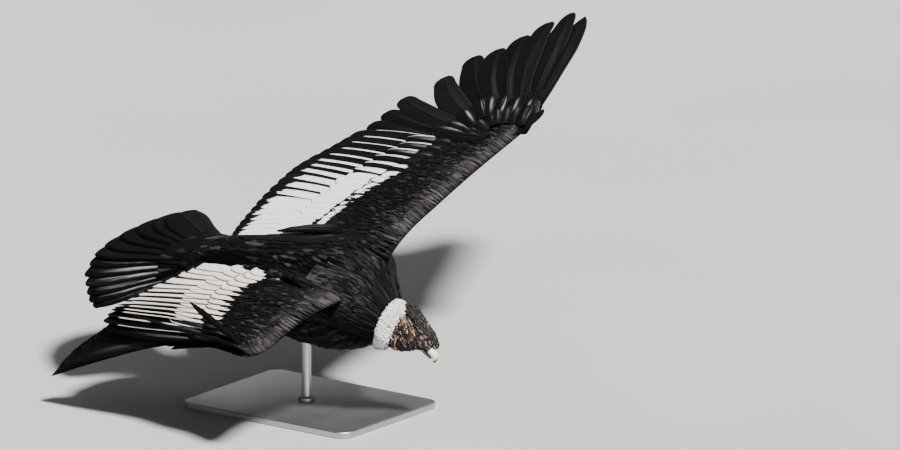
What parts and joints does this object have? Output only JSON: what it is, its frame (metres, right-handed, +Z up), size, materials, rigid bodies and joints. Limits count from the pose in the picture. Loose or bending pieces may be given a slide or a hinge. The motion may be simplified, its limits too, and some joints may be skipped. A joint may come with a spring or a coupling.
{
  "type": "andean condor",
  "caption": "Adult male Andean condor modelled in flight as a still figure: left wing spread, right wing flexed and swept back, tail fanned, head lowered, on a small display stand.",
  "frame": {"origin": "centre of the underside of the stand's base plate, on the floor", "axes": "+X the way the bird heads, +Y towards its left, +Z up"},
  "size_m": [1.0103, 1.7814, 0.682],
  "materials": {
    "ivory_bill": "satin",
    "claw_horn": "satin",
    "comb_skin": "satin",
    "eye": "polished",
    "bare_skin": "satin",
    "leg_scales": "satin",
    "black_plumage": "satin",
    "white_down": "matte",
    "stand_steel": "satin",
    "tail_plumage": "satin",
    "wing_plumage": "satin"
  },
  "bodies": {
    "root": {"bill_lower": "ivory_bill", "bill_upper": "ivory_bill", "claw_left_1": "claw_horn", "claw_left_2": "claw_horn", "claw_left_3": "claw_horn", "claw_left_4": "claw_horn", "claw_right_1": "claw_horn", "claw_right_2": "claw_horn", "claw_right_3": "claw_horn", "claw_right_4": "claw_horn", "comb": "comb_skin", "eye_left": "eye", "eye_right": "eye", "head": "bare_skin", "leg_left": "leg_scales", "leg_right": "leg_scales", "neck": "black_plumage", "ruff": "white_down", "stand_base": "stand_steel", "stand_rod": "stand_steel", "tail": "tail_plumage", "throat": "bare_skin", "torso": "black_plumage", "wing_left": "wing_plumage", "wing_right": "wing_plumage"}
  },
  "joints": []
}
